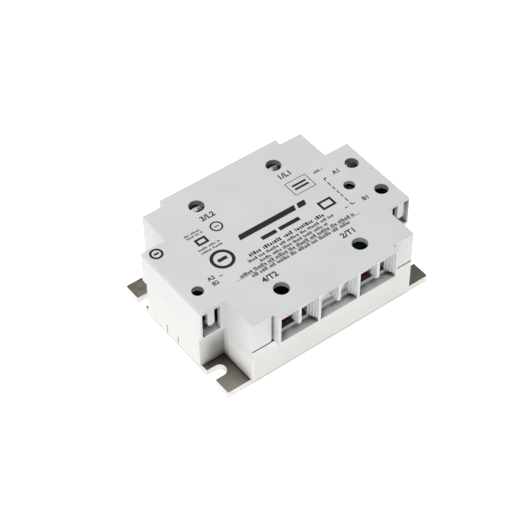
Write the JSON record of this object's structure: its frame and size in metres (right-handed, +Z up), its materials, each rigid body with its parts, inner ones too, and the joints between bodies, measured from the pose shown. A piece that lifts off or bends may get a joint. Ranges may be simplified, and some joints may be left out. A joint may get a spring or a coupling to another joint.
{
  "type": "solid state relay",
  "caption": "Panel-mount solid state relay: light grey cross-shaped housing on a slotted metal base plate, screw-clamp power and control terminals behind guarded openings.",
  "frame": {"origin": "on the underside of the base plate, under the middle of the relay", "axes": "+Z up out of the cover; +X along the length towards the control input end with two terminals; +Y towards the line side terminals"},
  "size_m": [0.1, 0.076, 0.0346],
  "materials": {
    "plate_metal": "rolled plate, fine directional grain, satin",
    "housing_plastic": "fine spark-eroded texture",
    "cover_plastic": "fine spark-eroded texture with pad-printed dark grey marks",
    "ceramic": "fired alumina, matte",
    "bare_copper": "bare copper, lightly tarnished",
    "silicon": "passivated die with a metallised top",
    "tinned_copper": "tin plated, dull",
    "zinc_steel": "bright zinc plate",
    "dark_steel": "blackened, dull",
    "red_plastic": "moulded, slight sheen",
    "gold_pin": "plated wire",
    "silicone": "soft clear gel, cloudy in depth",
    "board_laminate": "glass-epoxy laminate with solder mask",
    "black_epoxy": "transfer-moulded epoxy",
    "capacitor_case": "moulded box",
    "resistor_lacquer": "lacquered ceramic",
    "varistor_lacquer": "dipped lacquer",
    "led_lens": "tinted translucent epoxy"
  },
  "bodies": {
    "housing": {"base_plate": "plate_metal", "ceramic_substrate_1": "ceramic", "ceramic_substrate_2": "ceramic", "chip_resistors": "black_epoxy", "circuit_board": "board_laminate", "control_bar_a1": "tinned_copper", "control_bar_a2": "tinned_copper", "control_bar_b1": "tinned_copper", "control_terminal_nuts": "zinc_steel", "control_transistor": "black_epoxy", "copper_pads_1": "bare_copper", "copper_pads_2": "bare_copper", "gate_pins": "gold_pin", "input_rectifier": "black_epoxy", "jumper_clips_1": "bare_copper", "jumper_clips_2": "bare_copper", "lower_housing": "housing_plastic", "power_terminal_nuts": "zinc_steel", "silicone_gel": "silicone", "snubber_capacitor_1": "capacitor_case", "snubber_capacitor_2": "capacitor_case", "snubber_resistor_1": "resistor_lacquer", "snubber_resistor_2": "resistor_lacquer", "status_led": "led_lens", "surge_varistor_1": "varistor_lacquer", "surge_varistor_2": "varistor_lacquer", "terminal_bar_l1": "tinned_copper", "terminal_bar_l2": "tinned_copper", "terminal_bar_t1": "tinned_copper", "terminal_bar_t2": "tinned_copper", "thyristor_chip_1a": "silicon", "thyristor_chip_1b": "silicon", "thyristor_chip_2a": "silicon", "thyristor_chip_2b": "silicon", "top_cover": "cover_plastic", "trigger_optocoupler_1": "black_epoxy", "trigger_optocoupler_2": "black_epoxy"},
    "l1_clamp": {"power_clamp_l1": "zinc_steel", "clamp_carrier_l1": "red_plastic"},
    "l1_screw": {"power_screw_l1": "dark_steel"},
    "l2_clamp": {"power_clamp_l2": "zinc_steel", "clamp_carrier_l2": "red_plastic"},
    "l2_screw": {"power_screw_l2": "dark_steel"},
    "t1_clamp": {"power_clamp_t1": "zinc_steel", "clamp_carrier_t1": "red_plastic"},
    "t1_screw": {"power_screw_t1": "dark_steel"},
    "t2_clamp": {"power_clamp_t2": "zinc_steel", "clamp_carrier_t2": "red_plastic"},
    "t2_screw": {"power_screw_t2": "dark_steel"},
    "a1_clamp": {"control_clamp_a1": "zinc_steel"},
    "a1_screw": {"control_screw_a1": "dark_steel"},
    "b1_clamp": {"control_clamp_b1": "zinc_steel"},
    "b1_screw": {"control_screw_b1": "dark_steel"},
    "a2_clamp": {"control_clamp_a2": "zinc_steel"},
    "a2_screw": {"control_screw_a2": "dark_steel"}
  },
  "joints": [
    {"name": "l1_clamp_lift", "type": "slide", "parent": "housing", "child": "l1_clamp", "axis": [0, 0, 1], "range_m": [-0.00035, 0.004]},
    {"name": "l1_screw_turn", "type": "hinge", "parent": "l1_clamp", "child": "l1_screw", "pos_m": [0.01865, 0.0267, 0.024], "axis": [0, 0, 1], "range_deg": [-166, 1808]},
    {"name": "l2_clamp_lift", "type": "slide", "parent": "housing", "child": "l2_clamp", "axis": [0, 0, 1], "range_m": [-0.00035, 0.004]},
    {"name": "l2_screw_turn", "type": "hinge", "parent": "l2_clamp", "child": "l2_screw", "pos_m": [-0.01865, 0.0267, 0.024], "axis": [0, 0, 1], "range_deg": [-166, 1808]},
    {"name": "t1_clamp_lift", "type": "slide", "parent": "housing", "child": "t1_clamp", "axis": [0, 0, 1], "range_m": [-0.00035, 0.004]},
    {"name": "t1_screw_turn", "type": "hinge", "parent": "t1_clamp", "child": "t1_screw", "pos_m": [0.01865, -0.0267, 0.024], "axis": [0, 0, 1], "range_deg": [-166, 1808]},
    {"name": "t2_clamp_lift", "type": "slide", "parent": "housing", "child": "t2_clamp", "axis": [0, 0, 1], "range_m": [-0.00035, 0.004]},
    {"name": "t2_screw_turn", "type": "hinge", "parent": "t2_clamp", "child": "t2_screw", "pos_m": [-0.01865, -0.0267, 0.024], "axis": [0, 0, 1], "range_deg": [-166, 1808]},
    {"name": "a1_clamp_lift", "type": "slide", "parent": "housing", "child": "a1_clamp", "axis": [0, 0, 1], "range_m": [-0.00145, 0.002]},
    {"name": "a1_screw_turn", "type": "hinge", "parent": "a1_clamp", "child": "a1_screw", "pos_m": [0.0439, 0.0091, 0.0246], "axis": [0, 0, 1], "range_deg": [-878, 1208]},
    {"name": "b1_clamp_lift", "type": "slide", "parent": "housing", "child": "b1_clamp", "axis": [0, 0, 1], "range_m": [-0.00145, 0.002]},
    {"name": "b1_screw_turn", "type": "hinge", "parent": "b1_clamp", "child": "b1_screw", "pos_m": [0.0439, -0.0091, 0.0246], "axis": [0, 0, 1], "range_deg": [-878, 1208]},
    {"name": "a2_clamp_lift", "type": "slide", "parent": "housing", "child": "a2_clamp", "axis": [0, 0, 1], "range_m": [-0.00145, 0.002]},
    {"name": "a2_screw_turn", "type": "hinge", "parent": "a2_clamp", "child": "a2_screw", "pos_m": [-0.0439, -0.0091, 0.0246], "axis": [0, 0, 1], "range_deg": [-878, 1208]}
  ],
  "couplings": [
    {"joint": "l1_screw_turn", "follows": "l1_clamp_lift", "rad_per_m": 7854},
    {"joint": "l2_screw_turn", "follows": "l2_clamp_lift", "rad_per_m": 7854},
    {"joint": "t1_screw_turn", "follows": "t1_clamp_lift", "rad_per_m": 7854},
    {"joint": "t2_screw_turn", "follows": "t2_clamp_lift", "rad_per_m": 7854},
    {"joint": "a1_screw_turn", "follows": "a1_clamp_lift", "rad_per_m": 10472},
    {"joint": "b1_screw_turn", "follows": "b1_clamp_lift", "rad_per_m": 10472},
    {"joint": "a2_screw_turn", "follows": "a2_clamp_lift", "rad_per_m": 10472}
  ]
}
